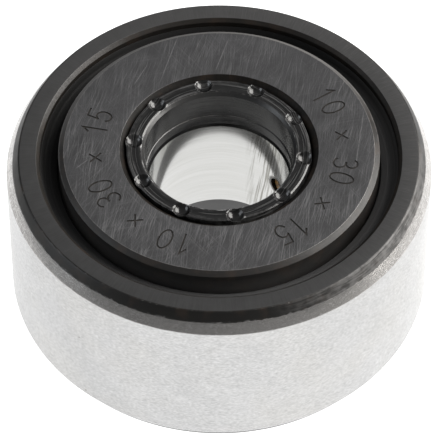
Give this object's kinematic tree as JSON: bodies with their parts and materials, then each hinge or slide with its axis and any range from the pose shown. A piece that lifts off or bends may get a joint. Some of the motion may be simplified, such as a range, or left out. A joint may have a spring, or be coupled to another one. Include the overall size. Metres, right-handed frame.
{
  "type": "yoke-type needle support roller",
  "caption": "Support roller bearing: thick ground outer ring on caged needle rollers round an inner ring, with staked flange rings and polymer sliding rings at both ends.",
  "frame": {"origin": "on the roller axis, in the plane of the lower flange ring's face", "axes": "+Z along the roller axis; +X is the direction that the lubrication hole's angle is counted from, 33.5 degrees towards +Y"},
  "size_m": [0.03, 0.03, 0.015],
  "materials": {
    "outer_ring_steel": "hardened bearing steel: runway and raceway ground bright, ends and chamfers black oxide",
    "inner_ring_steel": "hardened bearing steel: black oxide ends and bore mouths, middle of the bore and raceway ground bright",
    "flange_steel": "black oxide steel with fine crossing finishing scratches",
    "black_polymer": "moulded black polyamide, satin",
    "cage_steel": "pressed sheet steel, satin",
    "needle_steel": "through-hardened bearing steel, lapped bright"
  },
  "bodies": {
    "inner_assembly": {"inner_ring": "inner_ring_steel", "flange_ring_top": "flange_steel", "flange_ring_bottom": "flange_steel"},
    "outer_assembly": {"outer_ring": "outer_ring_steel", "sliding_ring_top": "black_polymer", "sliding_ring_bottom": "black_polymer"},
    "cage": {"needle_cage": "cage_steel"},
    "needle_01": {"needle_roller_01": "needle_steel"},
    "needle_02": {"needle_roller_02": "needle_steel"},
    "needle_03": {"needle_roller_03": "needle_steel"},
    "needle_04": {"needle_roller_04": "needle_steel"},
    "needle_05": {"needle_roller_05": "needle_steel"},
    "needle_06": {"needle_roller_06": "needle_steel"},
    "needle_07": {"needle_roller_07": "needle_steel"},
    "needle_08": {"needle_roller_08": "needle_steel"},
    "needle_09": {"needle_roller_09": "needle_steel"},
    "needle_10": {"needle_roller_10": "needle_steel"},
    "needle_11": {"needle_roller_11": "needle_steel"},
    "needle_12": {"needle_roller_12": "needle_steel"},
    "needle_13": {"needle_roller_13": "needle_steel"},
    "needle_14": {"needle_roller_14": "needle_steel"}
  },
  "joints": [
    {"name": "outer_ring_spin", "type": "hinge", "parent": "inner_assembly", "child": "outer_assembly", "pos_m": [0, 0, 0.0075], "axis": [0, 0, 1], "continuous": true},
    {"name": "cage_spin", "type": "hinge", "parent": "inner_assembly", "child": "cage", "pos_m": [0, 0, 0.0075], "axis": [0, 0, 1], "continuous": true},
    {"name": "needle_01_spin", "type": "hinge", "parent": "cage", "child": "needle_01", "pos_m": [0.00801, 0, 0.0075], "axis": [0, 0, 1], "continuous": true},
    {"name": "needle_02_spin", "type": "hinge", "parent": "cage", "child": "needle_02", "pos_m": [0.00722, 0.00348, 0.0075], "axis": [0, 0, 1], "continuous": true},
    {"name": "needle_03_spin", "type": "hinge", "parent": "cage", "child": "needle_03", "pos_m": [0.00499, 0.00626, 0.0075], "axis": [0, 0, 1], "continuous": true},
    {"name": "needle_04_spin", "type": "hinge", "parent": "cage", "child": "needle_04", "pos_m": [0.00178, 0.00781, 0.0075], "axis": [0, 0, 1], "continuous": true},
    {"name": "needle_05_spin", "type": "hinge", "parent": "cage", "child": "needle_05", "pos_m": [-0.00178, 0.00781, 0.0075], "axis": [0, 0, 1], "continuous": true},
    {"name": "needle_06_spin", "type": "hinge", "parent": "cage", "child": "needle_06", "pos_m": [-0.00499, 0.00626, 0.0075], "axis": [0, 0, 1], "continuous": true},
    {"name": "needle_07_spin", "type": "hinge", "parent": "cage", "child": "needle_07", "pos_m": [-0.00722, 0.00348, 0.0075], "axis": [0, 0, 1], "continuous": true},
    {"name": "needle_08_spin", "type": "hinge", "parent": "cage", "child": "needle_08", "pos_m": [-0.00801, 0, 0.0075], "axis": [0, 0, 1], "continuous": true},
    {"name": "needle_09_spin", "type": "hinge", "parent": "cage", "child": "needle_09", "pos_m": [-0.00722, -0.00348, 0.0075], "axis": [0, 0, 1], "continuous": true},
    {"name": "needle_10_spin", "type": "hinge", "parent": "cage", "child": "needle_10", "pos_m": [-0.00499, -0.00626, 0.0075], "axis": [0, 0, 1], "continuous": true},
    {"name": "needle_11_spin", "type": "hinge", "parent": "cage", "child": "needle_11", "pos_m": [-0.00178, -0.00781, 0.0075], "axis": [0, 0, 1], "continuous": true},
    {"name": "needle_12_spin", "type": "hinge", "parent": "cage", "child": "needle_12", "pos_m": [0.00178, -0.00781, 0.0075], "axis": [0, 0, 1], "continuous": true},
    {"name": "needle_13_spin", "type": "hinge", "parent": "cage", "child": "needle_13", "pos_m": [0.00499, -0.00626, 0.0075], "axis": [0, 0, 1], "continuous": true},
    {"name": "needle_14_spin", "type": "hinge", "parent": "cage", "child": "needle_14", "pos_m": [0.00722, -0.00348, 0.0075], "axis": [0, 0, 1], "continuous": true}
  ],
  "couplings": [
    {"joint": "cage_spin", "follows": "outer_ring_spin", "ratio": 0.5625},
    {"joint": "needle_01_spin", "follows": "outer_ring_spin", "ratio": 3.9375},
    {"joint": "needle_02_spin", "follows": "outer_ring_spin", "ratio": 3.9375},
    {"joint": "needle_03_spin", "follows": "outer_ring_spin", "ratio": 3.9375},
    {"joint": "needle_04_spin", "follows": "outer_ring_spin", "ratio": 3.9375},
    {"joint": "needle_05_spin", "follows": "outer_ring_spin", "ratio": 3.9375},
    {"joint": "needle_06_spin", "follows": "outer_ring_spin", "ratio": 3.9375},
    {"joint": "needle_07_spin", "follows": "outer_ring_spin", "ratio": 3.9375},
    {"joint": "needle_08_spin", "follows": "outer_ring_spin", "ratio": 3.9375},
    {"joint": "needle_09_spin", "follows": "outer_ring_spin", "ratio": 3.9375},
    {"joint": "needle_10_spin", "follows": "outer_ring_spin", "ratio": 3.9375},
    {"joint": "needle_11_spin", "follows": "outer_ring_spin", "ratio": 3.9375},
    {"joint": "needle_12_spin", "follows": "outer_ring_spin", "ratio": 3.9375},
    {"joint": "needle_13_spin", "follows": "outer_ring_spin", "ratio": 3.9375},
    {"joint": "needle_14_spin", "follows": "outer_ring_spin", "ratio": 3.9375}
  ]
}
